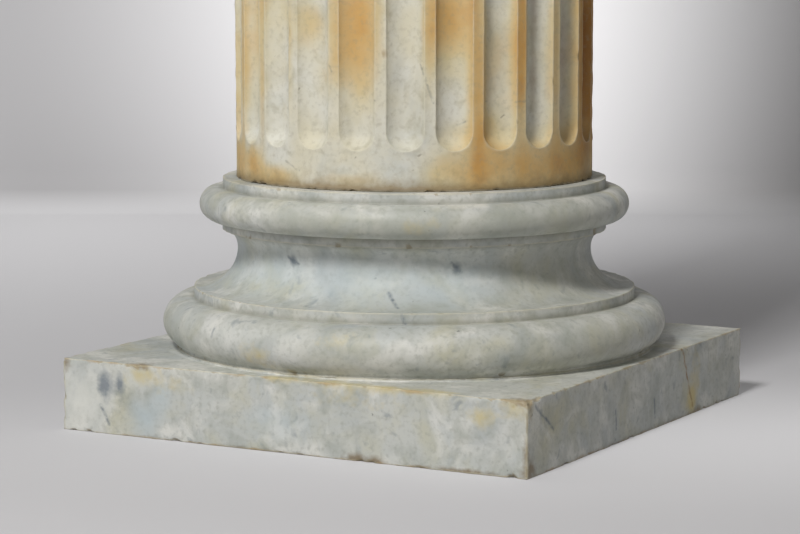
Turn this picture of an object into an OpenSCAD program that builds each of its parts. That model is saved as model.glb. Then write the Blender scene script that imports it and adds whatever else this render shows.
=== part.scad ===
// Fluted marble column: a moulded base on a square plinth, a plain-ended fluted shaft, and a capital.
// Each of the three stones is one solid, and they stand on one another face to face.
// Millimetres, +Z up, origin at the centre of the plinth's underside.
// The plinth's sides face along X and Y.

/* [Whole column] */
// Height from the plinth's underside to the top of the abacus
column_h = 1150; // [900:10:1500]
// Radius of the shaft, which is the same all the way up
shaft_r = 141; // [115:1:165]

/* [Plinth] */
// Side of the square plinth
plinth_side = 400; // [380:5:500]
// Height of the plinth
plinth_h = 56; // [30:1:90]

/* [Lower mouldings of the base] */
// How far the thin collar under the lower roll stays inside the plinth's sides
collar_inset = 10; // [4:1:20]
// Height of the collar
collar_h = 2; // [1:0.5:6]
// How far the lower roll stays inside the plinth's sides
lower_roll_inset = 0; // [0:1:10]
// Height of the lower roll
lower_roll_h = 38; // [26:1:50]
// How far the lower fillet's rim stays inside the plinth's sides
lower_fillet_inset = 24.5; // [16:0.5:30]
// Height of the lower fillet
lower_fillet_h = 8.5; // [4:0.5:14]
// Flat ledge on the lower fillet, outside the hollow
lower_ledge = 5.5; // [2:0.5:10]

/* [Hollow of the base] */
// How much deeper the hollow's throat goes than the shaft's face
throat_inset = 0.5; // [0:0.5:8]
// Height of the hollow's sweep below its throat
hollow_below_h = 30; // [20:1:40]
// Height of the hollow's sweep above its throat
hollow_above_h = 15; // [8:1:24]
// How far the hollow's top edge stands out from the shaft's face
hollow_top_reach = 6.5; // [3:0.5:9]

/* [Upper mouldings of the base] */
// How far the fillet over the hollow stands out from the shaft's face
upper_fillet_reach = 11.5; // [10:0.5:16]
// Height of the fillet over the hollow
upper_fillet_h = 7.5; // [4:0.5:14]
// How far the upper roll stands out from the shaft's face
upper_roll_reach = 29.5; // [26:0.5:36]
// Height of the upper roll
upper_roll_h = 25.5; // [16:0.5:32]
// How far the disc under the shaft stands out from the shaft's face
disc_reach = 11; // [6:0.5:14]
// Height of the disc under the shaft
disc_h = 8; // [4:0.5:14]

/* [Flutes] */
// Number of flutes round the shaft
flutes = 24; // [16:1:28]
// Width of a flute across its two edges
flute_w = 28.3; // [18:0.1:29]
// Depth of a flute at its middle, from the shaft's round face
flute_depth = 8; // [4:0.5:10]
// Plain band below the round ends of the flutes
bottom_band = 30; // [15:1:60]
// Plain band above the round ends of the flutes
top_band = 30; // [15:1:60]
// Turn of the first flute away from the plinth's X side
flute_turn = 10.9; // [0:0.1:15]

/* [Capital] */
// Height of the half-round bead at the foot of the capital
bead_h = 14; // [8:1:20]
// How far the bead stands out from the shaft's face
bead_reach = 9; // [8:0.5:16]
// Height of the plain neck
neck_h = 34; // [20:1:60]
// How far the flat ring over the neck stands out from the shaft's face
ring_reach = 6; // [3:0.5:10]
// Height of the flat ring over the neck
ring_h = 7; // [4:0.5:12]
// Height and reach of the quarter-round under the abacus
quarter_round = 26; // [16:1:28]
// Margin of the abacus outside the quarter-round
abacus_margin = 4; // [1:1:20]
// Height of the abacus
abacus_h = 37; // [20:1:60]

/* [Hidden] */
$fn = 96;

// Radii of the base, from the plinth's side or the shaft's face
half_side = plinth_side / 2;
collar_r = half_side - collar_inset;
lower_roll_r = half_side - lower_roll_inset;
lower_fillet_r = half_side - lower_fillet_inset;
hollow_foot_r = lower_fillet_r - lower_ledge;
throat_r = shaft_r - throat_inset;
hollow_top_r = shaft_r + hollow_top_reach;
upper_fillet_r = shaft_r + upper_fillet_reach;
upper_roll_r = shaft_r + upper_roll_reach;
disc_r = shaft_r + disc_reach;

// Heights of the base, each moulding standing on the one below
collar_z = plinth_h;
lower_roll_z = collar_z + collar_h;
lower_fillet_z = lower_roll_z + lower_roll_h;
hollow_z = lower_fillet_z + lower_fillet_h;
throat_z = hollow_z + hollow_below_h;
upper_fillet_z = throat_z + hollow_above_h;
upper_roll_z = upper_fillet_z + upper_fillet_h;
disc_z = upper_roll_z + upper_roll_h;
base_h = disc_z + disc_h;

// Heights of the capital and what is left for the shaft
capital_h = bead_h + neck_h + ring_h + quarter_round + abacus_h;
capital_z = column_h - capital_h;
neck_z = capital_z + bead_h;
ring_z = neck_z + neck_h;
quarter_round_z = ring_z + ring_h;
abacus_z = quarter_round_z + quarter_round;
abacus_side = 2 * (shaft_r + quarter_round + abacus_margin);
shaft_h = capital_z - base_h;

// A flute is cut by a cylinder that passes through the flute's two edges and its deepest line
flute_edge_x = sqrt(pow(shaft_r, 2) - pow(flute_w / 2, 2));
flute_sag = flute_depth - (shaft_r - flute_edge_x);
flute_r = (pow(flute_w / 2, 2) + pow(flute_sag, 2)) / (2 * flute_sag);
flute_x = shaft_r - flute_depth + flute_r;
flute_centre_out = flute_x - shaft_r;
// A ball of the same radius ends it, and reaches this far along the shaft's face
flute_end_reach = sqrt(pow(flute_r, 2) - pow(flute_centre_out, 2));
flute_low_z = base_h + bottom_band + flute_end_reach;
flute_high_z = capital_z - top_band - flute_end_reach;

// Half profiles, in the plane that is turned round the axis
module band(z, h, r) {
    translate([0, z]) square([r, h]);
}

module roll(z, h, r) {
    band(z, h, r - h / 2);
    translate([r - h / 2, z + h / 2]) circle(d = h);
}

// One sweep of the hollow: a band cut back by an arc that is upright at the throat and passes the band's edge
module sweep(z, h, r) {
    across = r - throat_r;
    arc_r = (pow(across, 2) + pow(h, 2)) / (2 * across);
    difference() {
        band(z, h, r);
        translate([throat_r + arc_r, throat_z]) circle(r = arc_r);
    }
}

module base_profile() {
    band(collar_z, collar_h, collar_r);
    roll(lower_roll_z, lower_roll_h, lower_roll_r);
    band(lower_fillet_z, lower_fillet_h, lower_fillet_r);
    sweep(hollow_z, hollow_below_h, hollow_foot_r);
    sweep(throat_z, hollow_above_h, hollow_top_r);
    band(upper_fillet_z, upper_fillet_h, upper_fillet_r);
    roll(upper_roll_z, upper_roll_h, upper_roll_r);
    band(disc_z, disc_h, disc_r);
}

module capital_profile() {
    roll(capital_z, bead_h, shaft_r + bead_reach);
    band(neck_z, neck_h, shaft_r);
    band(ring_z, ring_h, shaft_r + ring_reach);
    band(quarter_round_z, quarter_round, shaft_r);
    intersection() {
        translate([shaft_r, abacus_z]) circle(r = quarter_round);
        translate([shaft_r, quarter_round_z]) square(quarter_round);
    }
}

module slab(side, z, h) {
    translate([-side / 2, -side / 2, z]) cube([side, side, h]);
}

// Round-ended bar that cuts one flute
module flute_cutter() {
    rotate_extrude() {
        translate([0, flute_low_z]) square([flute_r, flute_high_z - flute_low_z]);
        for (end_z = [flute_low_z, flute_high_z])
            intersection() {
                translate([0, end_z]) circle(r = flute_r);
                translate([0, end_z - flute_r]) square([flute_r, 2 * flute_r]);
            }
    }
}

module base() {
    color("#b9bbb4") {
        slab(plinth_side, 0, plinth_h);
        rotate_extrude() base_profile();
    }
}

module shaft() {
    color("#cfc7b0") rotate(flute_turn) difference() {
        translate([0, 0, base_h]) cylinder(r = shaft_r, h = shaft_h);
        for (i = [0 : flutes - 1])
            rotate(i * 360 / flutes) translate([flute_x, 0, 0]) flute_cutter();
    }
}

module capital() {
    color("#c6c2b3") {
        rotate_extrude() capital_profile();
        slab(abacus_side, abacus_z, abacus_h);
    }
}

base();
shaft();
capital();
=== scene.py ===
import math
import bpy
import numpy as np
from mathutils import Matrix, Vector


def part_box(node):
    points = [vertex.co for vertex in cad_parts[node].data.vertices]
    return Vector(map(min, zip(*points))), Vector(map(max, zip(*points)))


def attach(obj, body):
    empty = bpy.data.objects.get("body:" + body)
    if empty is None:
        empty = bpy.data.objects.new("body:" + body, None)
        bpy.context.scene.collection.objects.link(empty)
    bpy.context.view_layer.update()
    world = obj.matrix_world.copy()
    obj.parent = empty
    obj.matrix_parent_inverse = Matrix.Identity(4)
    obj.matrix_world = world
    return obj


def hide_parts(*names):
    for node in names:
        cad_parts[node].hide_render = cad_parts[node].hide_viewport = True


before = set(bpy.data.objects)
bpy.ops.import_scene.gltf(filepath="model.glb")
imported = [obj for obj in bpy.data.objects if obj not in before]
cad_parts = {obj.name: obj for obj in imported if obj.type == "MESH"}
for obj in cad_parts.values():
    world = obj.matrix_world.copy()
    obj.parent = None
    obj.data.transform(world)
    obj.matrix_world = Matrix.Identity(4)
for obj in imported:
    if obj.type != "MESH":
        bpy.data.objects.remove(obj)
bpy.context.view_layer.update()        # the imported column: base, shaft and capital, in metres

mm = 0.001


def linear(code):
    # an sRGB hex colour as linear red, green, blue and alpha
    shares = [int(code[i:i + 2], 16) / 255 for i in (1, 3, 5)]
    return [c / 12.92 if c <= 0.04045 else ((c + 0.055) / 1.055) ** 2.4 for c in shares] + [1.0]


def perMetre(sizeMm):
    # the Scale of a pattern whose features are this many millimetres across
    return 1000 / sizeMm


def addNode(tree, kind, inputs=None, **settings):
    # adds a node, sets its properties, and fills each input with a value or a link
    node = tree.nodes.new(kind)
    for name, value in settings.items():
        setattr(node, name, value)
    for key, value in (inputs or {}).items():
        if isinstance(value, bpy.types.NodeSocket):
            tree.links.new(value, node.inputs[key])
        else:
            node.inputs[key].default_value = value
    return node


def calc(tree, operation, *values):
    # the result of a Math node
    return addNode(tree, "ShaderNodeMath", dict(enumerate(values)), operation=operation).outputs[0]


def calcVector(tree, operation, *values):
    # the result of a Vector Math node: a number for the three named here, else a vector
    node = addNode(tree, "ShaderNodeVectorMath", dict(enumerate(values)), operation=operation)
    return node.outputs["Value" if operation in ("DOT_PRODUCT", "DISTANCE", "LENGTH") else "Vector"]


def remap(tree, value, low, high, bottom=0.0, top=1.0, **settings):
    # goes from bottom to top while the value goes from low to high
    node = addNode(tree, "ShaderNodeMapRange", {0: value, 1: low, 2: high, 3: bottom, 4: top}, **settings)
    return node.outputs[0]


def mixed(tree, share, first, second):
    return addNode(tree, "ShaderNodeMix", {0: share, 6: first, 7: second}, data_type="RGBA").outputs[2]


def newMaterial(name):
    # an empty material, its tree, and the place in the piece's own coordinates
    material = bpy.data.materials.new(name)
    material.use_nodes = True
    material.node_tree.nodes.clear()
    return material, material.node_tree, addNode(material.node_tree, "ShaderNodeTexCoord").outputs["Object"]


def addObject(name, data):
    thing = bpy.data.objects.new(name, data)
    bpy.context.scene.collection.objects.link(thing)
    return thing


def unit(way):
    return np.array(way) / np.linalg.norm(way)


def bump(distance, width):
    # 1 at the place itself, fading over this width
    return np.exp(-(np.asarray(distance) / width) ** 2)


def line(start, end):
    start, end = np.array(start, float), np.array(end, float)
    return (lambda t: start + (end - start) * t), np.linalg.norm(end - start)


def lines(*places):
    # straight stretches from each place to the next
    return [line(start, end) for start, end in zip(places[:-1], places[1:])]


def arc(centre, radius, fromDeg, toDeg):
    # angles are from straight out, upwards
    def place(t):
        a = math.radians(fromDeg + (toDeg - fromDeg) * t)
        return np.array([centre[0] + radius * math.cos(a), centre[1] + radius * math.sin(a)])
    return place, radius * math.radians(abs(toDeg - fromDeg))


def along(length, step, fine):
    # shares of a stretch, close together beside its two ends
    if length <= 3 * fine:
        return [0.0, 0.5]
    inner = max(2, round((length - 2 * fine) / step) + 1)
    return [0.0] + list(np.linspace(fine, length - fine, inner) / length)


def turnProfile(stretches, step, fine):
    # points (out, up) down a moulding, with how near each is to an arris and to a crease; the first
    # stretch is the joint face, hidden by the next stone, so its points are far apart
    points, lengths, corners = [], [], []
    run = 0.0
    for number, (place, length) in enumerate(stretches):
        way = unit(place(0.02) - place(0.0))
        if number:
            corners.append((run, lastWay[1] * way[0] - lastWay[0] * way[1]))
        spacing = step if number else 12 * step
        for t in along(length, spacing, fine):
            points.append(place(t))
            lengths.append(run + t * length)
        lastWay = unit(place(1.0) - place(0.98))
        run += length
    points.append(stretches[-1][0](1.0))
    lengths.append(run)
    lengths = np.array(lengths)
    edge, crease = np.zeros(len(lengths)), np.zeros(len(lengths))
    for at, turn in corners:
        if turn > 0.3:
            edge = np.maximum(edge, bump(lengths - at, 1.4) * min(turn, 1))
        if turn < -0.3:
            crease = np.maximum(crease, bump(lengths - at, 3.5))
    return np.array(points), edge, crease


def squareRim(perSide, crowd):
    # directions to points round a square of half side 1, crowded towards its corners
    u = np.linspace(-1, 1, perSide + 1)[:-1]
    t = (1 - crowd) * u + crowd * np.sin(u * math.pi / 2)
    one = np.ones(perSide)
    sides = [(one, t), (-t, one), (-one, -t), (t, -one)]
    return np.concatenate([np.column_stack(side) for side in sides])


def stoneOnSlab(size, mouldings):
    # a turned moulding on a square slab, as rings of points from the pole on top to the pole below
    rim = squareRim(size["spokesPerSide"], 0.35)
    toCorner = np.linalg.norm(rim, axis=1)
    profile, profileEdge, profileCrease = turnProfile(mouldings, size["step"], size["fine"])
    half, top, steps = size["halfSide"], size["slabTop"], size["edgeSteps"]
    rings, edges, creases = [], [], []

    def addRing(xy, z, edge, crease):
        rings.append(np.column_stack([xy, np.full(len(xy), z)]))
        edges.append(np.broadcast_to(edge, len(xy)))
        creases.append(np.broadcast_to(crease, len(xy)))

    for (out, up), edge, crease in zip(profile, profileEdge, profileCrease):
        addRing(rim / toCorner[:, None] * out, up, edge, crease)
    foot = rim / toCorner[:, None] * profile[-1][0]
    for t in size["slabTopSteps"]:                       # across the slab from the round foot
        inner = rim * (half - steps[-1])
        addRing(foot + (inner - foot) * t, top, 0, bump(t * 60, 4))
    for d in reversed(steps):
        addRing(rim * (half - d), top, bump(d, 1.4), 0)
    cornerness = bump((toCorner.max() - toCorner) * half * 1.4, 2.5)
    middle = np.linspace(steps[-1], top - steps[-1], size["sideRows"])[1:-1]
    downs = steps[1:] + list(middle) + [top - d for d in reversed(steps[1:])] + [top]
    for down in downs:
        edge = max(bump(down, 1.4), bump(top - down, 1.4))
        addRing(rim * half, top - down, np.maximum(edge, cornerness), 0)
    for d in steps[1:]:
        addRing(rim * (half - d), 0, 0, 0)
    count = len(rim)
    points = np.concatenate([[[0, 0, profile[0][1]]]] + rings[1:] + [[[0, 0, 0]]])
    edge = np.concatenate([[0]] + edges[1:] + [[0]])
    crease = np.concatenate([[0]] + creases[1:] + [[0]])
    rows, last = len(rings) - 1, len(points) - 1
    faces = []
    nextOne = np.roll(np.arange(count), -1)
    for i in range(count):
        faces.append((0, 1 + i, 1 + nextOne[i]))
        faces.append((last, last - count + nextOne[i], last - count + i))
    for row in range(rows - 1):
        a = 1 + row * count
        for i in range(count):
            faces.append((a + i, a + count + i, a + count + nextOne[i], a + nextOne[i]))
    return points, faces, edge, crease


def makeMesh(name, points, faces, edge, crease):
    mesh = bpy.data.meshes.new(name)
    mesh.from_pydata(np.asarray(points) * mm, [], faces)
    mesh.update()
    piece = addObject(name, mesh)
    writeAttribute(piece, "edge", edge)
    writeAttribute(piece, "crease", crease)
    return piece


def nodeTree(name, inputs):
    tree = bpy.data.node_groups.new(name, "GeometryNodeTree")
    for label, kind in [("Geometry", "Geometry")] + inputs:
        tree.interface.new_socket(label, in_out="INPUT", socket_type="NodeSocket" + kind)
    tree.interface.new_socket("Geometry", in_out="OUTPUT", socket_type="NodeSocketGeometry")
    return tree, addNode(tree, "NodeGroupInput").outputs


def addEnding(tree, geometry, material):
    # every tree ends in plain geometry with its material
    real = addNode(tree, "GeometryNodeRealizeInstances", {0: geometry})
    done = addNode(tree, "GeometryNodeSetMaterial", {"Geometry": real.outputs[0], "Material": material})
    addNode(tree, "NodeGroupOutput", {0: done.outputs[0]})


wearInputs = [(name, "Float") for name in ("Wave", "Wave size", "Arris wear", "Seed")]
wearInputs.append(("Material", "Material"))


def weatheredTree():
    # moves a stone's skin in and out a little, and wears its arrises back
    tree, given = nodeTree("weatheredStone", wearInputs)
    edge = addNode(tree, "GeometryNodeInputNamedAttribute", {"Name": "edge"}, data_type="FLOAT").outputs[0]
    normal = addNode(tree, "GeometryNodeInputNormal").outputs[0]

    def seededNoise(scale, detail):
        return addNode(tree, "ShaderNodeTexNoise", {"W": given["Seed"], "Scale": scale, "Detail": detail},
                       noise_dimensions="4D").outputs[0]

    wave = seededNoise(calc(tree, "DIVIDE", 1.0, given["Wave size"]), 3.0)
    waved = calc(tree, "MULTIPLY", calc(tree, "SUBTRACT", wave, 0.5), given["Wave"])
    bite = remap(tree, seededNoise(perMetre(9), 2.0), 0.42, 0.72, 0.35, 2.6)
    worn = calc(tree, "MULTIPLY", calc(tree, "MULTIPLY", bite, given["Arris wear"]), edge)
    shift = calc(tree, "SUBTRACT", waved, worn)
    offset = calcVector(tree, "MULTIPLY", normal, shift)
    moved = addNode(tree, "GeometryNodeSetPosition", {"Geometry": given["Geometry"], "Offset": offset})
    addEnding(tree, moved.outputs[0], given["Material"])
    return tree


def fluteRingTree(weathered):
    # repeats one flute's share of the shaft round the axis and joins the shares into one stone
    tree, given = nodeTree("fluteRing", [("Flutes", "Int"), ("Turn", "Float"), ("Join distance", "Float")]
                           + wearInputs)
    places = addNode(tree, "GeometryNodePoints", {"Count": given["Flutes"]}).outputs[0]
    number = addNode(tree, "GeometryNodeInputIndex").outputs[0]
    pitch = calc(tree, "DIVIDE", math.tau, given["Flutes"])
    turn = calc(tree, "MULTIPLY_ADD", number, pitch, given["Turn"])
    rotation = addNode(tree, "ShaderNodeCombineXYZ", {"Z": turn}).outputs[0]
    ring = addNode(tree, "GeometryNodeInstanceOnPoints", {"Points": places, "Instance": given["Geometry"],
                                                          "Rotation": rotation})
    real = addNode(tree, "GeometryNodeRealizeInstances", {0: ring.outputs[0]})
    joined = addNode(tree, "GeometryNodeMergeByDistance", {"Geometry": real.outputs[0],
                                                           "Distance": given["Join distance"]})
    wear = addNode(tree, "GeometryNodeGroup", node_tree=weathered)
    tree.links.new(joined.outputs[0], wear.inputs["Geometry"])
    for label, _ in wearInputs:
        tree.links.new(given[label], wear.inputs[label])
    addEnding(tree, wear.outputs[0], given["Material"])
    return tree


def wearOf(waveSize, arrisWear, seed, material):
    return {"Wave": 0.9 * mm, "Wave size": waveSize * mm, "Arris wear": arrisWear * mm, "Seed": seed,
            "Material": material}


def runTree(piece, tree, values):
    # runs a node tree on a piece and keeps the result as its plain mesh
    modifier = piece.modifiers.new(tree.name, "NODES")
    modifier.node_group = tree
    for item in tree.interface.items_tree:
        if item.item_type == "SOCKET" and item.in_out == "INPUT" and item.name in values:
            modifier[item.identifier] = values[item.name]
    bpy.context.view_layer.update()
    result = piece.evaluated_get(bpy.context.evaluated_depsgraph_get())
    mesh = bpy.data.meshes.new_from_object(result)
    old = piece.data
    piece.modifiers.clear()
    piece.data = mesh
    bpy.data.meshes.remove(old)
    mesh.shade_smooth()
    print(" ", piece.name, len(mesh.polygons), "faces")


def chipped(piece, chips, seed):
    # marks a piece's chips and gives its points in millimetres with them knocked out
    points = getPoints(piece)
    writeAttribute(piece, "chip", knockChips(points, chips, seed))
    return points


def getPoints(piece):
    co = np.empty(len(piece.data.vertices) * 3, np.float32)
    piece.data.vertices.foreach_get("co", co)
    return co.reshape(-1, 3).astype(float) / mm


def setPoints(piece, points):
    piece.data.vertices.foreach_set("co", (points * mm).astype(np.float32).ravel())
    piece.data.update()


def ripple(points, size, seed):
    # a cheap smooth unevenness between about -1 and 1
    rng = np.random.default_rng(seed)
    total = 0
    for share in (1.0, 0.6):
        ways = rng.normal(size=(3, 3)) * 2.2 / (size * share)
        total = total + share * np.sin(points @ ways + rng.uniform(0, 6.3, 3)).sum(1) / 3
    return total


def knockChips(points, chips, seed):
    # scoops a hollow where each chip came away; a chip is its place, width, depth and way in
    marks = np.zeros(len(points))
    rough = ripple(points, 4.0, seed)
    for place, radius, depth, way in chips:
        way = unit(way)
        centre = place - way * (radius - depth)
        away = points - centre
        near = (away ** 2).sum(1) < (radius * 1.3) ** 2
        reach = radius * (1 + 0.16 * rough[near])
        inWay = away[near] @ way
        room = reach ** 2 - (away[near] ** 2).sum(1)
        inside = room > 0
        push = -inWay + np.sqrt(np.maximum(inWay ** 2 + room, 0))
        index = np.flatnonzero(near)[inside]
        points[index] += push[inside, None] * way
        marks[index] = 1
    return marks


def roundChip(radius, a, z, size, wide, deep, up):
    # a chip at an angle round a turned part, that goes in and this much up
    place = (radius * math.cos(a), radius * math.sin(a), z)
    return place, size * wide, size * deep, (-math.cos(a), -math.sin(a), up)


def slabSides():
    # for each side of a square slab, the way out of it and the way along it
    return [(np.array([x, y, 0.0]), np.array([-y, x, 0.0])) for x, y in ((0, -1), (1, 0), (0, 1), (-1, 0))]


def edgeChips(rng, s, out, side, z, count, least, spread, power):
    # chips along one level edge of a slab, most of them small
    chips = []
    for _ in range(count):
        spot = out * s["halfSide"] + side * rng.uniform(-1, 1) * s["halfSide"] + np.array([0, 0, z])
        size = least + spread * rng.random() ** power
        chips.append((spot, size * 1.5, size * 0.45, -out + np.array([0, 0, -0.9 if z else 0.9])))
    return chips


def writeAttribute(piece, name, values):
    layer = piece.data.attributes.get(name) or piece.data.attributes.new(name, "FLOAT", "POINT")
    layer.data.foreach_set("value", np.asarray(values, np.float32))


def stainedBy(points, spots):
    # each spot is x, y, z, its width across, its width up, and its strength
    total = np.zeros(len(points))
    for x, y, z, across, up, strength in spots:
        flat = (points[:, 0] - x) ** 2 + (points[:, 1] - y) ** 2
        total += strength * np.exp(-flat / across ** 2 - ((points[:, 2] - z) / up) ** 2)
    return np.clip(total, 0, 1)


def onTurn(radius, turnDeg, z):
    # a place on a round part, by its turn from the front face
    a = math.radians(turnDeg)
    return radius * math.sin(a), -radius * math.cos(a), z


def roundSpots(radius, spots):
    # spots given by their turn from the front face in degrees and their height
    return [(*onTurn(radius, turn, z), *rest) for turn, z, *rest in spots]


def roundRuns(runs):
    # the starts and ends of strokes, each given by its radius, turn and height
    return [(onTurn(*start), onTurn(*end)) for start, end in runs]


def marble(name, stone):
    # a marble shader: clouds, veins, flecks and stains laid over each other in order, with painted shade in
    # the creases and painted highlight on the arrises among them
    material, tree, place = newMaterial(name)

    def noiseOf(size, shift=0.0, detail=4.0, warp=0.0, stretch=(1, 1, 1)):
        mapped = addNode(tree, "ShaderNodeMapping", {"Vector": place, "Scale": stretch,
                                                     "Location": (shift, shift * 0.7, shift * 1.3)})
        return addNode(tree, "ShaderNodeTexNoise", {"Vector": mapped.outputs[0], "Scale": perMetre(size),
                                                    "Detail": detail, "Roughness": 0.55,
                                                    "Distortion": warp}).outputs[0]

    def ranged(value, low, high, top=1.0):
        return remap(tree, value, low, high, 0.0, top)

    def times(a, b):
        return calc(tree, "MULTIPLY", a, b)

    def mask(layer):
        kind, size, shift, low, high, amount = (layer[key] for key in (
            "kind", "size", "shift", "low", "high", "amount"))
        if kind == "cloud":
            value = noiseOf(size, shift, layer["detail"], layer["warp"])
            return ranged(value, low, high, amount)
        if kind == "vein":
            value = noiseOf(size, shift, 2.5, 0.3, layer["stretch"])
            apart = calc(tree, "ABSOLUTE", calc(tree, "SUBTRACT", value, 0.5))
            thread = ranged(apart, layer["width"], 0.0)
            gate = ranged(noiseOf(layer["gateSize"], shift + 5), low, high)
            return times(times(thread, gate), amount)
        if kind == "fleck":
            warped = noiseOf(size * 0.4, shift)
            moved = calcVector(tree, "ADD", place, times(warped, size * 0.5 * mm))
            cells = addNode(tree, "ShaderNodeTexVoronoi", {"Vector": moved, "Scale": perMetre(size)})
            dot = ranged(cells.outputs["Distance"], layer["dot"], layer["dot"] * 0.35)
            lot = addNode(tree, "ShaderNodeSeparateColor", {0: cells.outputs["Color"]}).outputs[0]
            return times(times(dot, ranged(lot, low, high)), amount)
        if kind == "stroke":                              # a short vein from start to end, in millimetres
            start, end = Vector(layer["start"]) * mm, Vector(layer["end"]) * mm
            span = end - start
            sway = addNode(tree, "ShaderNodeTexNoise", {"Vector": place, "Scale": perMetre(size),
                                                        "Detail": 3.0})
            swayed = calcVector(tree, "SUBTRACT", sway.outputs["Color"], (0.5, 0.5, 0.5))
            here = calcVector(tree, "MULTIPLY_ADD", swayed, (layer["sway"] * mm,) * 3, place)
            fromStart = calcVector(tree, "SUBTRACT", here, start)
            share = calcVector(tree, "DOT_PRODUCT", fromStart, span / span.length_squared)
            clamped = addNode(tree, "ShaderNodeClamp", {0: share}).outputs[0]
            apart = calcVector(tree, "DISTANCE", fromStart, calcVector(tree, "MULTIPLY", span, clamped))
            patchy = ranged(noiseOf(4.0, shift), low, high)
            return times(times(ranged(apart, layer["width"] * mm, 0.0), patchy), amount)
        value = addNode(tree, "ShaderNodeAttribute", attribute_name=layer["name"]).outputs["Fac"]
        centred = calc(tree, "SUBTRACT", noiseOf(size, shift), 0.5)
        gated = times(times(centred, layer["uneven"]), ranged(value, 0.0, 0.15))
        broken = calc(tree, "ADD", value, gated)
        return ranged(broken, low, high, amount)

    colour = linear(stone["ground"])
    masks = {}
    for label, layer in stone["layers"].items():
        masks[label] = mask(layer)
        colour = mixed(tree, masks[label], colour, linear(layer["colour"]))
    grain = noiseOf(stone["grainSize"], detail=3.0)
    dents = noiseOf(stone["dentSize"], 3.0)
    height = calc(tree, "SUBTRACT", calc(tree, "ADD", times(grain, 0.25), dents),
                  times(masks["fleck"], stone["fleckDepth"]))
    relief = addNode(tree, "ShaderNodeBump", {"Height": height, "Strength": stone["bump"],
                                              "Distance": 0.6 * mm})
    rough = remap(tree, dents, 0.3, 0.7, *stone["roughness"])
    shader = addNode(tree, "ShaderNodeBsdfPrincipled", {"Base Color": colour, "Roughness": rough,
                                                        "Normal": relief.outputs[0], "IOR": 1.49})
    addNode(tree, "ShaderNodeOutputMaterial", {"Surface": shader.outputs[0]})
    return material


_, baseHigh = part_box("base")
shaftLow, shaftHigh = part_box("shaft")
capitalLow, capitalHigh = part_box("capital")

baseSize = dict(      # millimetres, from the axis and from the underside
    halfSide=baseHigh[0] / mm, slabTop=56, top=baseHigh[2] / mm,
    collar=190, collarTop=58, lowerRoll=19, lowerRollOut=200,
    lowerFillet=175.5, lowerFilletLow=96, lowerFilletTop=104.5, ledge=5.5,
    throat=140.5, throatUp=134.5, hollowTop=147.5, hollowTopUp=149.5,
    upperFillet=152.5, upperFilletTop=157, upperRoll=12.75, upperRollOut=170.5,
    disc=152, discLow=182.5, shaftRadius=shaftHigh[0] / mm,
    step=2.3, fine=0.8, spokesPerSide=152, sideRows=12,
    slabTopSteps=[0.12, 0.3, 0.55, 0.8], edgeSteps=[0, 0.8, 1.7, 2.9, 4.6, 7.0],
    bigChips=[(-140, 4), (-133, 5), (-125, 4), (172, 3), (186, 4), (194, 6)],       # place along and size
    lowChips=[(-74, 2.5), (14, 2.5), (65, 4), (72, 4), (188, 4)], footStep=0.6)


def quarterHollow(rim, throat):
    # the arc that leaves the throat upright and ends at the rim, and its angles
    across, up = rim[0] - throat[0], abs(rim[1] - throat[1])
    radius = (across ** 2 + up ** 2) / (2 * across)
    reach = math.degrees(math.asin(up / radius))
    if rim[0] - throat[0] > radius:
        reach = 180 - reach
    return (throat[0] + radius, throat[1]), radius, reach


def baseMouldings(s):
    lowCentre = (s["lowerRollOut"] - s["lowerRoll"], (s["collarTop"] + s["lowerFilletLow"]) / 2)
    upCentre = (s["upperRollOut"] - s["upperRoll"], (s["upperFilletTop"] + s["discLow"]) / 2)
    throat = (s["throat"], s["throatUp"])
    foot = (s["lowerFillet"] - s["ledge"], s["lowerFilletTop"])
    footOut = s["collar"] - s["footStep"]
    rollFoot = math.degrees(math.acos((footOut - lowCentre[0]) / s["lowerRoll"]))
    footUp = lowCentre[1] - s["lowerRoll"] * math.sin(math.radians(rollFoot))
    upMiddle, upRadius, upReach = quarterHollow((s["hollowTop"], s["hollowTopUp"]), throat)
    lowMiddle, lowRadius, lowReach = quarterHollow(foot, throat)
    return (
        lines((0, s["top"]), (s["shaftRadius"], s["top"]), (s["disc"], s["top"]), (s["disc"], s["discLow"]),
              (upCentre[0], s["discLow"]))
        + [arc(upCentre, s["upperRoll"], 90, -90)]
        + lines((upCentre[0], s["upperFilletTop"]), (s["upperFillet"], s["upperFilletTop"]),
                (s["upperFillet"], s["hollowTopUp"]), (s["hollowTop"], s["hollowTopUp"]))
        + [arc(upMiddle, upRadius, 180 - upReach, 180), arc(lowMiddle, lowRadius, 180, 180 + lowReach)]
        + lines(foot, (s["lowerFillet"], s["lowerFilletTop"]), (s["lowerFillet"], s["lowerFilletLow"]),
                (lowCentre[0], s["lowerFilletLow"]))
        + [arc(lowCentre, s["lowerRoll"], 90, -rollFoot)]
        + lines((footOut, footUp), (footOut, s["collarTop"]), (s["collar"], s["collarTop"]),
                (s["collar"], s["slabTop"])))


def cloud(size, shift, low, high, amount, colour, detail=5.0, warp=0.5):
    # soft patches, where a noise this many millimetres across goes from low to high
    return dict(kind="cloud", size=size, shift=shift, low=low, high=high, amount=amount, colour=colour,
                detail=detail, warp=warp)


def stain(size, shift, low, high, amount, colour, name, uneven):
    # follows the attribute of this name, with its edge broken up
    return dict(kind="stain", size=size, shift=shift, low=low, high=high, amount=amount, colour=colour,
                name=name, uneven=uneven)


def strokes(colour, amount, width, sway, runs):
    # short veins that share a colour; each run is a start and an end in millimetres
    return {f"stroke{colour}{n}": dict(kind="stroke", start=start, end=end, width=width, sway=sway, size=9,
                                       shift=40.0 + n, low=0.3, high=0.55, amount=amount, colour=colour)
            for n, (start, end) in enumerate(runs)}


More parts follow.
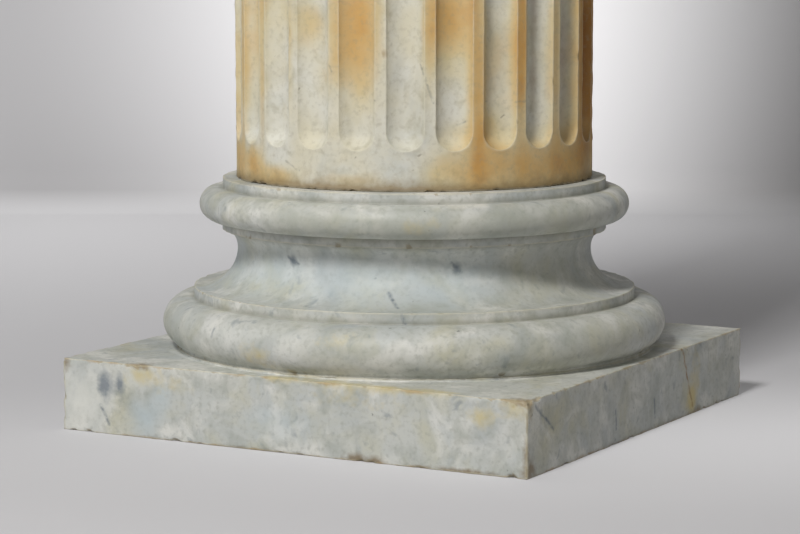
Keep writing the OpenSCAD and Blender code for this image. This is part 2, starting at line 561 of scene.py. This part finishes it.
baseMarbleLook = dict(      # Carrara: cool white, blue-grey clouds, greenish and rusty tints
    ground="#c2c4be",
    layers={
        "coolCloud": cloud(95, 1.0, 0.40, 0.66, 0.6, "#b0b7b9"),
        "yellowTint": cloud(50, 4.0, 0.48, 0.70, 0.7, "#bdb99a"),
        "milk": cloud(38, 8.0, 0.48, 0.62, 0.85, "#d8d8d2"),
        "vein": dict(kind="vein", size=130, shift=2.0, width=0.045, gateSize=60, low=0.45, high=0.62,
                     amount=0.45, stretch=(1, 1, 1), colour="#929ba1"),
        "mottle": cloud(18, 12.0, 0.48, 0.72, 0.55, "#999d93", detail=9.0),
        "grit": cloud(4, 16.0, 0.50, 0.78, 0.5, "#8a8d82", detail=6.0, warp=0.0),
        "smudge": cloud(13, 20.0, 0.62, 0.74, 0.55, "#7b848a"),
        "fleck": dict(kind="fleck", size=16, shift=3.0, dot=0.075, low=0.66, high=0.68, amount=0.7,
                      colour="#5c5e5b"),
        "bright": stain(24, 18.5, 0.15, 0.9, 0.75, "#d9dad3", "bright", 0.8),
        "dull": stain(24, 19.5, 0.1, 1.0, 0.6, "#a6a899", "dull", 0.8),
        "pale": stain(14, 2.5, 0.15, 0.9, 0.6, "#b4c2c8", "pale", 0.6),
        "slate": stain(7, 5.5, 0.25, 0.85, 0.8, "#69747f", "slate", 0.9),
        "ochre": stain(9, 7.5, 0.15, 0.9, 0.75, "#cbb976", "ochre", 1.2),
        "soil": stain(6, 17.5, 0.2, 0.9, 0.8, "#7d6a4a", "soil", 1.2),
        # partly crease grime, partly painted shade darkening the creases under the rolls and round their
        # feet
        "creaseDirtAndShade": stain(12, 9.5, 0.2, 1.2, 0.5, "#76745f", "crease", 0.8),
        # lighter along the arrises: partly rubbed wear, partly painted highlight
        "edgeWearAndHighlight": stain(14, 13.5, 0.4, 1.1, 0.6, "#d3cdb4", "edge", 0.9),
        "tanned": stain(16, 15.5, 0.85, 1.35, 0.6, "#a98c5c", "rim", 2.4),
        "chipped": stain(5, 11.5, 0.2, 0.9, 0.6, "#9a8b6c", "chip", 0.9),
        **strokes("#5f6b76", 0.75, 2.2, 3.0, [
            ((200, -187, 50), (200, -170, 38)), ((200, -170, 38), (200, -158, 30)),
            ((200, -50, 26), (200, -49, 12)), ((200, 22, 24), (200, 24, 9)),
            *roundRuns([((147.5, 21.3, 115.5), (152, 22.6, 111)), ((152, 22.6, 111), (161, 24.3, 106)),
                        ((176, 25.5, 104), (176, 26.5, 96)), ((140.5, 40, 137), (141, 43, 131)),
                        ((140.7, -14, 137), (140.6, -10, 133)), ((197, -21, 86), (199, -21, 80))]),
            ((-165, -200, 22), (-157, -200, 8))]),
        **strokes("#94713f", 0.9, 2.2, 5.0, [
            ((200, 76, 56), (200, 86, 34)), ((200, 86, 34), (200, 98, 6)),
            ((192, 66, 56), (200, 76, 56))])},
    grainSize=1.6, dentSize=14, bump=0.35, roughness=(0.46, 0.62), fleckDepth=0.5)


def baseChips(s):
    half, top = s["halfSide"], s["slabTop"]
    rng = np.random.default_rng(11)
    chips = []
    for out, side in slabSides():
        for z, count in ((top, 30), (0, 36)):
            chips += edgeChips(rng, s, out, side, z, count, 1.0, 3.6, 4)
        for _ in range(14):                              # the upright corner on this side's right
            spot = (out + side) * half + np.array([0, 0, rng.uniform(0, top)])
            size = 1.0 + 2.6 * rng.random() ** 2
            chips.append((spot, size * 1.5, size * 0.5, -out - side))
    for x, size in s["bigChips"]:                        # the worst of the front's upper edge
        chips.append(((x, -half, top), size * 1.7, size * 0.5, (0, 1, -0.8)))
    for x, size in s["lowChips"]:
        chips.append(((x, -half, 0), size * 1.6, size * 0.5, (0, 1, 1)))
    for _ in range(16):                                  # the crumbled near corner
        a, b = rng.uniform(0, 24, 2) * rng.integers(0, 2, 2)
        size = rng.uniform(2, 4.5)
        chips.append(((half - a, -half + b * (a == 0), top), size * 1.5, size * 0.55, (-1, 1, -1.2)))
    return chips


def filletChips(s):
    rng = np.random.default_rng(23)
    chips = []
    rims = [(s["lowerFillet"], s["lowerFilletTop"], 26), (s["disc"], s["top"], 30),
            (s["upperFillet"], s["hollowTopUp"], 14), (s["collar"], s["collarTop"], 18)]
    for radius, z, count in rims:
        for _ in range(count):
            a = rng.uniform(0, math.tau)
            size = 0.8 + 2.2 * rng.random() ** 2
            chips.append(roundChip(radius, a, z, size, 1.6, 0.4, -0.9))
    return chips


print("stage: base")
weathered = weatheredTree()
baseMarble = marble("honedCarraraMarble", baseMarbleLook)
points, faces, edge, crease = stoneOnSlab(baseSize, baseMouldings(baseSize))
crease[points[:, 2] < baseSize["lowerFilletLow"] - 10] *= 0.25      # less crease grime and painted crease shade on the collar
base = makeMesh("baseStone", points, faces, edge, crease)
runTree(base, weathered, wearOf(45, 0.32, 3.0, baseMarble))
points = chipped(base, baseChips(baseSize) + filletChips(baseSize), 5)
points[:, 2] = np.clip(points[:, 2], 0, baseSize["top"])
reach = baseSize["halfSide"]
points[:, :2] = np.clip(points[:, :2], -reach, reach)
setPoints(base, points)
halfSlab = np.array([reach, reach, baseSize["slabTop"] / 2])
insets = np.sort(halfSlab - np.abs(points - [0, 0, halfSlab[2]]), axis=1)     # in from the slab's faces
onSlab = points[:, 2] <= baseSize["slabTop"] + 0.5
writeAttribute(base, "rim", bump(np.maximum(insets[:, 1], 0), 3.0) * onSlab)
baseStains = dict(      # x, y, z, width across, width up, strength
    ochre=[(163, -200, 42, 9, 8, 0.7), (-125, -200, 50, 14, 6, 0.5), (188, -200, 50, 14, 9, 0.5),
           (200, 96, 12, 9, 14, 1.0), (200, 105, 34, 12, 22, 0.4), (-110, -200, 42, 30, 9, 0.3),
           (60, -200, 46, 40, 8, 0.3)]
    + [(x, -200, 57, 11, 4, 0.55) for x in range(-10, 150, 16)]
    + roundSpots(198, [(-8, 69, 15, 9, 0.6), (12, 86, 20, 8, 0.3)])
    + roundSpots(170, [(30, 168, 16, 8, 0.3)]),
    soil=[(-198, -200, 51, 5, 6, 0.9), (200, -194, 6, 7, 8, 1.0), (200, -196, 50, 5, 8, 0.6),
          (199, -200, 20, 3, 14, 0.7), (192, -200, 55, 10, 3, 0.9), (200, 108, 3, 7, 4, 0.7),
          (-128, -200, 55, 12, 2.5, 0.9), (60, -200, 2, 9, 4, 0.9), (77, -200, 2, 7, 4, 0.9),
          (150, -200, 1, 26, 2.5, 0.7), (-20, -200, 0, 60, 1.8, 0.7), (200, 0, 0, 190, 2, 0.6)],
    bright=[(-182, -200, 28, 26, 24, 0.9), (-135, -200, 44, 20, 9, 0.6)],
    dull=roundSpots(165, [(turn, 168, 40, 12, 1.0) for turn in (0, 25, 50, 75)])
    + roundSpots(168, [(28, 106, 60, 6, 0.7)])
    + roundSpots(196, [(-40, 78, 50, 20, 0.7), (10, 78, 50, 20, 0.6), (70, 78, 60, 20, 0.6)])
    + roundSpots(150, [(80, 125, 60, 25, 0.6)]),
    slate=[(-161, -200, 38, 7, 12, 1.1), (-147, -200, 38, 5, 9, 0.9), (8, -200, 16, 2.5, 7, 0.6)]
    + roundSpots(141, [(41.7, 133, 4, 5, 0.9), (-12, 135, 4, 5, 0.8)])
    + roundSpots(168, [(25, 113, 4, 8, 0.6)]),
    pale=[(-124, -200, 16, 15, 14, 0.9), (-108, -200, 33, 10, 12, 0.7), (-8, -200, 22, 30, 16, 0.6)]
    + roundSpots(150, [(turn, 126, 44, 22, 0.75) for turn in (-50, -20, 10, 40)]))
for name, spots in baseStains.items():
    writeAttribute(base, name, stainedBy(points, spots))


shaftSize = dict(      # millimetres
    radius=shaftHigh[0] / mm, low=shaftLow[2] / mm, high=shaftHigh[2] / mm,
    flutes=24, fluteWide=28.3, fluteDeep=8, bandHigh=30, turnDeg=10.9,
    quarterSteps=12, fluteColumns=8, filletShares=[0.16, 0.55], capRings=[0.8, 1.8, 3.2, 6, 20],
    bandRows=[0, 0.8, 1.8, 3.2, 5, 7.2], arrisShare=0.035)


def halfShaftFlute(s, rowStep, rowGrowth):
    # one flute's share of the shaft from its foot to mid height, along X, as points, faces and edge
    radius, half = s["radius"], s["fluteWide"] / 2
    pitch = math.tau * radius / s["flutes"]
    sag = s["fluteDeep"] - (radius - math.sqrt(radius ** 2 - half ** 2))
    ball = (half ** 2 + sag ** 2) / (2 * sag)             # radius of the hollow and of its round ends
    centre = radius - s["fluteDeep"] + ball
    ballUp = s["bandHigh"] + math.sqrt(ball ** 2 - (centre - radius) ** 2)
    middle = (s["high"] - s["low"]) / 2
    shares = [1 - s["arrisShare"]] + list(np.linspace(1 - s["arrisShare"], 0, s["fluteColumns"])[1:])
    points, edges, faces, index = [], [], [], {}

    def add(key, point, edge):
        index[key] = len(points)
        points.append(point)
        edges.append(edge)

    def onFace(arcLength, z, inset=0):
        a = arcLength / radius
        return (radius - inset) * math.cos(a), (radius - inset) * math.sin(a), z

    def arrisTilt(way):
        # angle on the ball at which it meets the round shaft, seen this way from the flute's middle
        a = (ball * math.sin(way)) ** 2
        b = 2 * centre * ball
        c = centre ** 2 + (ball * math.cos(way)) ** 2 - radius ** 2
        return math.acos(2 * c / (b + math.sqrt(b ** 2 - 4 * a * c)))

    def inHollow(tilt, way, z):
        out = ball * math.sin(tilt)
        return centre - ball * math.cos(tilt), out * math.cos(way), z - out * math.sin(way)

    def fluteRow(key, way, z, border):
        # points from the flute's arris in to its bottom, then from the arris out to the border
        tilt = arrisTilt(way)
        for n, share in enumerate([1.0] + shares[:-1]):
            add((key, n), inHollow(tilt * share, way, z), 1.0 if n == 0 else bump(n - 0.2, 0.7))
        x, y, up = inHollow(tilt, way, z)
        rim = np.array([math.atan2(y, x) * radius, up])
        for n, share in enumerate(s["filletShares"] + [1.0]):
            u, v = rim + (np.array(border) - rim) * share
            add((key, -1 - n), onFace(u, v), bump(n + 0.6, 0.8))

    order = [-3, -2, -1] + list(range(len(shares)))       # a row's points from the border to the bottom

    def bridge(keyA, keyB):
        for a, b in zip(order[:-1], order[1:]):
            faces.append([index[keyA, a], index[keyB, a], index[keyB, b], index[keyA, b]])

    q = s["quarterSteps"]
    steps = 4 * q
    lowLine = ballUp - pitch / 2
    rowHeights, z, step = [], ballUp, rowStep
    while z < middle - step * 0.7:
        z += step
        step *= rowGrowth
        rowHeights.append(z)
    rowHeights[-1] = middle
    for k in range(steps + 1):                            # round the flute's lower end
        if k <= q:
            border = (pitch / 2, ballUp - pitch / 2 * k / q)
        elif k <= 3 * q:
            border = (pitch / 2 - pitch * (k - q) / (2 * q), lowLine)
        else:
            border = (-pitch / 2, lowLine + pitch / 2 * (k - 3 * q) / q)
        fluteRow(("end", k), math.pi * k / steps, ballUp, border)
    for k in range(steps):
        bridge(("end", k), ("end", k + 1))
    add(("pole", 0), (centre - ball, 0, ballUp), 0.0)
    deepest = len(shares) - 1
    for k in range(steps):
        faces.append([index[("end", k), deepest], index[("end", k + 1), deepest], index["pole", 0]])
    for side, way in ((1, 0.0), (-1, math.pi)):           # up the straight flute, one wall at a time
        last = ("end", 0 if side == 1 else steps)
        bottomLast = index["pole", 0]
        for row, z in enumerate(rowHeights):
            key = ("up", side, row)
            fluteRow(key, way, z, (side * pitch / 2, z))
            if side == 1:
                add(("bottom", row), (centre - ball, 0, z), 0.0)
            for a, b in zip(order[:-1], order[1:]):
                faces.append([index[last, a], index[last, b], index[key, b], index[key, a]][::side])
            here = index["bottom", row]
            faces.append([index[last, deepest], bottomLast, here, index[key, deepest]][::side])
            last, bottomLast = key, here
    heights = s["bandRows"] + list(np.linspace(s["bandRows"][-1], lowLine, 9)[1:-1])
    columns = np.linspace(pitch / 2, -pitch / 2, 2 * q + 1)
    for row, z in enumerate(heights):                     # the plain band at the foot
        for col, u in enumerate(columns):
            add(("band", row, col), onFace(u, z), bump(z, 1.4))
    for col in range(2 * q + 1):
        index["band", len(heights), col] = index[("end", q + col), -3]
    for row in range(len(heights)):
        for col in range(2 * q):
            faces.append([index["band", row + 1, col], index["band", row, col],
                          index["band", row, col + 1], index["band", row + 1, col + 1]])
    for ring, inset in enumerate(s["capRings"]):          # the joint face under the band
        for col, u in enumerate(columns):
            add(("cap", ring, col), onFace(u, 0, inset), 0.0)
    add(("cap", "middle"), (0, 0, 0), 0.0)
    for col in range(2 * q):
        before = [index["band", 0, col], index["band", 0, col + 1]]
        for ring in range(len(s["capRings"])):
            here = [index["cap", ring, col], index["cap", ring, col + 1]]
            faces.append([before[0], here[0], here[1], before[1]])
            before = here
        faces.append([before[0], index["cap", "middle"], before[1]])
    return np.array(points), faces, np.array(edges)


def shaftFlute(s):
    # the lower half with close rows, and the upper half upside down with wider ones
    points, faces, edge = halfShaftFlute(s, 3.0, 1.035)
    upper, upperFaces, upperEdge = halfShaftFlute(s, 7.0, 1.05)
    upper[:, 2] = (s["high"] - s["low"]) - upper[:, 2]
    faces = faces + [[i + len(points) for i in reversed(face)] for face in upperFaces]
    points = np.concatenate([points, upper])
    points[:, 2] += s["low"]
    return points, faces, np.concatenate([edge, upperEdge])


shaftMarbleLook = dict(      # the same kind of stone, older and soaked with rust
    ground="#d4d3c8",
    layers={
        "coolCloud": cloud(50, 21.0, 0.48, 0.70, 0.7, "#bbc0bd"),
        "cream": cloud(50, 24.0, 0.42, 0.66, 0.55, "#cec5a5"),
        "mottle": cloud(14, 32.0, 0.50, 0.74, 0.6, "#b1ad98", detail=8.0),
        "vein": dict(kind="vein", size=110, shift=22.0, width=0.030, gateSize=40, low=0.48, high=0.62,
                     amount=0.4, stretch=(1, 1, 0.6), colour="#a9a89e"),
        "halo": stain(34, 27.5, 0.02, 0.45, 0.75, "#cfbf8d", "honey", 0.5),
        "honey": stain(30, 27.0, 0.2, 1.0, 0.92, "#c99d55", "honey", 0.8),
        "rust": stain(26, 29.0, 0.75, 1.5, 0.75, "#b07634", "honey", 1.2),
        "brown": stain(24, 35.0, 0.1, 0.9, 0.92, "#8f5c20", "brown", 0.6),
        "grit": cloud(4, 26.0, 0.50, 0.80, 0.45, "#9a937c", detail=6.0, warp=0.0),
        "fleck": dict(kind="fleck", size=15, shift=23.0, dot=0.075, low=0.60, high=0.62, amount=0.6,
                      colour="#7d7462"),
        "slate": stain(7, 25.5, 0.30, 0.75, 0.6, "#85857f", "slate", 1.0),
        "soil": stain(9, 37.5, 0.2, 1.0, 0.75, "#8a744c", "soil", 1.1),
        # partly grime, partly painted shade in the joint gaps at the shaft's two ends
        "creaseDirtAndShade": stain(8, 29.5, 0.15, 0.9, 0.85, "#5a4c36", "crease", 0.9),
        "chipped": stain(4, 31.5, 0.2, 0.9, 0.6, "#9c8560", "chip", 0.9),
        # lighter along the arrises: partly rubbed wear, partly painted highlight
        "edgeWearAndHighlight": stain(12, 33.5, 0.35, 1.0, 0.35, "#dad5c0", "edge", 0.8),
        **strokes("#84847b", 0.7, 1.4, 5.0, roundRuns([
            ((138, 30.5, 286), (141, 32.5, 270)), ((141, 32.5, 270), (141, 34.5, 257)),
            ((137, 51, 257), (137, 58, 256)), ((140, 60, 256), (141, 66, 257)),
            ((141, -15.3, 211), (141, -9, 204)), ((134, -13.5, 276), (134, -10.7, 262)),
            ((138, -1.3, 300), (141, 3.0, 280)), ((135, 42, 240), (136, 46, 243)),
            ((141, -50, 262), (141, -44, 250)), ((137, -29, 262), (139, -25, 250))]))},
    grainSize=1.4, dentSize=11, bump=0.4, roughness=(0.58, 0.76), fleckDepth=0.6)


def shaftChips(s):
    rng = np.random.default_rng(31)
    chips = []
    for z, up, count in ((s["low"], 1, 150), (s["high"], -1, 60)):
        for _ in range(count):
            a = rng.uniform(0, math.tau)
            size = 0.9 + 3.2 * rng.random() ** 2.5
            chips.append(roundChip(s["radius"], a, z, size, 1.7, 0.5, up * rng.uniform(0.8, 1.6)))
    pitch = math.tau / s["flutes"]
    arris = s["fluteWide"] / 2 / s["radius"]
    for _ in range(110):                                  # nicks along the flutes' arrises
        a = math.radians(s["turnDeg"]) + pitch * rng.integers(0, s["flutes"]) + arris * rng.choice((-1, 1))
        z = s["low"] + 50 + rng.uniform(0, s["high"] - s["low"] - 100)
        size = 0.8 + 1.8 * rng.random() ** 2
        chips.append(roundChip(s["radius"], a, z, size, 1.9, 0.35, 0))
    return chips


print("stage: shaft")
shaftMarble = marble("rustStainedMarble", shaftMarbleLook)
points, faces, edge = shaftFlute(shaftSize)
shaft = makeMesh("shaftStone", points, faces, edge, 0 * edge)
runTree(shaft, fluteRingTree(weathered), wearOf(50, 0.28, 7.0, shaftMarble) | {
    "Flutes": shaftSize["flutes"], "Turn": math.radians(shaftSize["turnDeg"] - 90),
    "Join distance": 0.05 * mm})
points = chipped(shaft, shaftChips(shaftSize), 6)
points[:, 2] = np.clip(points[:, 2], shaftSize["low"], shaftSize["high"])
setPoints(shaft, points)
lowEnd, highEnd = points[:, 2] - shaftSize["low"], shaftSize["high"] - points[:, 2]
# the crease mask at the shaft's two ends, for grime and painted shade in the joint gaps
writeAttribute(shaft, "crease", np.maximum(bump(lowEnd, 1.8), 0.8 * bump(highEnd, 2.5)))
honeySpots = roundSpots(shaftSize["radius"], [      # turn from the front, height, width, width up, strength
    (10.6, 318, 15, 42, 1.25), (11, 262, 12, 22, 0.35), (-6, 314, 14, 22, 0.5), (-2, 272, 8, 14, 0.4),
    (-14, 290, 5, 40, 0.35), (-19, 330, 16, 30, 0.3), (3.4, 305, 6, 70, 0.22), (18.4, 300, 6, 50, 0.1),
    (40.7, 322, 15, 34, 1.2), (48.4, 270, 8, 80, 0.7), (33.4, 310, 6, 50, 0.5), (-26.6, 300, 5, 80, 0.45),
    (-34, 312, 10, 46, 0.85), (-41, 290, 6, 80, 0.5), (55.9, 290, 13, 50, 0.4), (53, 236, 12, 14, 0.5),
    (41, 232, 12, 10, 0.3), (63.4, 300, 7, 60, 1.2), (68, 310, 5, 30, 0.5), (-33, 206, 13, 13, 0.9),
    (-46, 206, 18, 16, 0.7), (-20, 198, 22, 8, 0.6), (36, 205, 14, 14, 0.35), (49, 206, 24, 20, 0.55),
    (66, 207, 28, 20, 0.7), (85, 208, 28, 24, 0.8), (78, 290, 8, 80, 0.5), (96, 290, 14, 90, 1.2),
    (110, 280, 22, 90, 1.3), (-56, 260, 20, 90, 0.4), (10, 199, 30, 6, 0.3)] + [
    (turn, z, 20, 70, strength) for turn, z, strength in (
        (-75, 420, 0.8), (20, 470, 0.9), (75, 520, 0.8), (130, 360, 0.9), (165, 620, 0.8), (200, 300, 0.7),
        (230, 520, 0.9), (265, 780, 0.6), (310, 660, 0.7), (350, 800, 0.6), (45, 760, 0.7), (110, 860, 0.7),
        (150, 230, 0.8), (215, 900, 0.6), (285, 240, 0.6))])      # these are high up or behind
writeAttribute(shaft, "honey", stainedBy(points, honeySpots))
writeAttribute(shaft, "soil", 0.9 * bump(lowEnd, 6) + 0.35 * bump(lowEnd, 18))
writeAttribute(shaft, "brown", stainedBy(points, roundSpots(shaftSize["radius"] - 6, [
    (86, 290, 8, 90, 0.3), (101, 290, 15, 90, 1.2), (116, 290, 16, 90, 1.0), (71, 300, 5, 70, 0.3)])))
writeAttribute(shaft, "slate", stainedBy(points, roundSpots(shaftSize["radius"], [
    (55.6, 292, 6, 8, 0.7), (-13, 208, 5, 3, 0.5)])))


capitalSize = dict(      # millimetres; heights are down from the flat top
    halfSide=capitalHigh[0] / mm, slabTop=37, top=(capitalHigh[2] - capitalLow[2]) / mm,
    shaftRadius=shaftSize["radius"], bead=7, beadLow=104, ring=147, ringLow=70, ringTop=63, roundOut=26,
    step=4.0, fine=1.0, spokesPerSide=90, sideRows=7,
    slabTopSteps=[0.15, 0.5], edgeSteps=[0, 0.9, 2.0, 3.6, 6.0])


def capitalMouldings(s):
    radius, top = s["shaftRadius"], s["top"]
    beadOut = radius + 2
    return (
        lines((0, top), (radius, top), (beadOut, top))
        + [arc((beadOut, top - s["bead"]), s["bead"], 90, -90)]
        + lines((beadOut, s["beadLow"]), (radius, s["beadLow"]), (radius, s["ringLow"]),
                (s["ring"], s["ringLow"]), (s["ring"], s["ringTop"]), (radius, s["ringTop"]))
        + [arc((radius, s["slabTop"]), s["roundOut"], 90, 0)])


def capitalChips(s):
    rng = np.random.default_rng(41)
    return [chip for out, side in slabSides() for z in (s["slabTop"], 0)
            for chip in edgeChips(rng, s, out, side, z, 12, 1.6, 4.0, 3)]


capitalMarbleLook = dict(shaftMarbleLook, ground="#d3d1c5")

print("stage: capital")
capitalMarble = marble("weatheredCreamMarble", capitalMarbleLook)
capital = makeMesh("capitalStone", *stoneOnSlab(capitalSize, capitalMouldings(capitalSize)))
runTree(capital, weathered, wearOf(45, 0.3, 9.0, capitalMarble))
points = chipped(capital, capitalChips(capitalSize), 8)
points[:, 2] = capitalHigh[2] / mm - np.clip(points[:, 2], 0, capitalSize["top"])    # turned upright
setPoints(capital, points)
capital.data.flip_normals()
writeAttribute(capital, "honey", stainedBy(points, roundSpots(150, [
    (20, 1060, 30, 20, 0.7), (100, 1070, 30, 25, 0.8), (190, 1050, 30, 20, 0.7),
    (280, 1090, 40, 25, 0.7)])))
for name in ("brown", "slate", "soil"):
    writeAttribute(capital, name, np.zeros(len(points)))

for piece, node, slot in ((base, "base", "base_marble"), (shaft, "shaft", "shaft_marble"),
                          (capital, "capital", "capital_marble")):
    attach(piece, "root")
    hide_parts(node)


view = dict(turnDeg=28.69, distance=2.1019, height=0.3803, downDeg=7.144, leftDeg=0.311, lens=119.3)
turn = math.radians(view["turnDeg"])
rightWay = Vector((math.cos(turn), math.sin(turn), 0))
awayWay = Vector((-math.sin(turn), math.cos(turn), 0))


def studioPoint(right, away, up):
    # a place in the studio: right of the column, beyond it, and above the floor, as the camera stands
    return rightWay * right + awayWay * away + Vector((0, 0, up))


def aim(thing, way):
    thing.rotation_euler = way.to_track_quat("-Z", "Y").to_euler()


def addCamera():
    camera = addObject("camera", bpy.data.cameras.new("camera"))
    camera.data.lens = view["lens"]
    camera.data.sensor_width = 36
    camera.data.clip_end = 50
    camera.location = studioPoint(0, -view["distance"], view["height"])
    down, left = math.radians(view["downDeg"]), math.radians(view["leftDeg"])
    aim(camera, studioPoint(-math.sin(left) * math.cos(down), math.cos(left) * math.cos(down),
                            -math.sin(down)))
    bpy.context.scene.camera = camera


def addSoftbox(name, turnDeg, upDeg, distance, wide, high, watts, colour):
    # aims at the base; turnDeg is from the camera's side of the column, to the right
    target = Vector((0, 0, 0.25))
    a, e = math.radians(turnDeg), math.radians(upDeg)
    lamp = bpy.data.lights.new(name, "AREA")
    lamp.shape = "RECTANGLE"
    lamp.size, lamp.size_y = wide, high
    lamp.energy = watts
    lamp.color = linear(colour)[:3]
    box = addObject(name, lamp)
    box.location = studioPoint(math.sin(a) * math.cos(e) * distance, -math.cos(a) * math.cos(e) * distance,
                               math.sin(e) * distance) + target
    aim(box, target - box.location)
    box.visible_camera = False


sweepSize = dict(halfWide=4.0, front=-3.0, wall=1.56, cove=0.06, high=3.5)      # metres, from the column


def addSweep():
    # a studio floor that curves up into a wall, drawn as the camera stands and then turned
    halfWide, front, wall, cove, high = sweepSize.values()
    outline = [(front, 0)]
    for step in range(13):
        a = math.pi / 2 * step / 12
        outline.append((wall - cove + cove * math.sin(a), cove - cove * math.cos(a)))
    outline.append((wall, high))
    points = [(side * halfWide, away, up) for away, up in outline for side in (-1, 1)]
    faces = [(2 * i, 2 * i + 1, 2 * i + 3, 2 * i + 2) for i in range(len(outline) - 1)]
    mesh = bpy.data.meshes.new("studioSweep")
    mesh.from_pydata(points, [], faces)
    mesh.shade_smooth()
    sweep = addObject("studioSweep", mesh)
    sweep.rotation_euler = (0, 0, turn)
    mesh.materials.append(sweepPaintAndLight())


def sweepPaintAndLight():
    # matt grey paint, darker on the wall's left as painted shade, with soft pools of painted light that
    # only the camera sees; from behind it is clear
    paint, tree, place = newMaterial("sweepPaintWithPaintedLight")

    def poolsOf(pools):
        # each pool fades from its strength at the centre to nothing at the spread
        total = 0.0
        for centre, spread, strength in pools:
            scaled = calcVector(tree, "DIVIDE", calcVector(tree, "SUBTRACT", place, centre), spread)
            total = calc(tree, "ADD", total, remap(tree, calcVector(tree, "LENGTH", scaled), 1.0, 0.0, 0.0,
                                                   strength, interpolation_type="SMOOTHSTEP"))
        return total

    apart = addNode(tree, "ShaderNodeSeparateXYZ", {0: place})
    onWall = remap(tree, apart.outputs["Z"], 0.0, 0.03)
    # painted shade: the wall's paint is darker on its left, against the light the left panel throws there
    onRight = remap(tree, apart.outputs["X"], -0.25, 0.1)
    leftShadedWallPaint = mixed(tree, onRight, linear("#a3a2a4"), linear("#cccbcd"))
    shade = mixed(tree, onWall, linear("#cacacd"), leftShadedWallPaint)
    matt = addNode(tree, "ShaderNodeBsdfDiffuse", {"Color": shade})
    wall = sweepSize["wall"]
    # painted light: glowing pools on the wall behind the column and on the floor, seen only by the camera
    wallGlow = poolsOf([((0.0, wall, 0.35), (0.68, 9.0, 0.82), 0.88),
                        ((-0.75, wall, 0.2), (0.5, 9.0, 1.2), 0.27)])
    floorGlow = poolsOf([((0.35, -0.1, 0.0), (0.9, 0.36, 1.0), 0.17),
                         ((-0.45, 1.5, 0.0), (1.0, 1.6, 1.0), 0.30),
                         ((0.25, 1.5, 0.0), (0.6, 1.0, 1.0), 0.18)])
    lit = addNode(tree, "ShaderNodeMix", {0: onWall, 2: floorGlow, 3: wallGlow}).outputs[0]
    seen = addNode(tree, "ShaderNodeLightPath").outputs["Is Camera Ray"]
    glow = addNode(tree, "ShaderNodeEmission", {"Color": linear("#fffeff"),
                                                "Strength": calc(tree, "MULTIPLY", lit, seen)})
    both = addNode(tree, "ShaderNodeAddShader", {0: matt.outputs[0], 1: glow.outputs[0]})
    behind = addNode(tree, "ShaderNodeNewGeometry").outputs["Backfacing"]
    clear = addNode(tree, "ShaderNodeBsdfTransparent")
    oneSided = addNode(tree, "ShaderNodeMixShader", {0: behind, 1: both.outputs[0], 2: clear.outputs[0]})
    addNode(tree, "ShaderNodeOutputMaterial", {"Surface": oneSided.outputs[0]})
    return paint


def addAir():
    world = bpy.data.worlds.new("studioAir")
    bpy.context.scene.world = world
    world.use_nodes = True
    world.node_tree.nodes.clear()
    air = addNode(world.node_tree, "ShaderNodeBackground", {"Color": linear("#f2f0eb"), "Strength": 0.25})
    addNode(world.node_tree, "ShaderNodeOutputWorld", {"Surface": air.outputs[0]})


print("stage: studio")
addCamera()
addSweep()
addAir()
addSoftbox("keyBox", -23, 41, 3.0, 0.55, 0.55, 66, "#fffdfb")
addSoftbox("leftPanel", -95, 14, 2.4, 1.2, 1.6, 6, "#f8faff")
bpy.context.scene.view_settings.view_transform = "Standard"
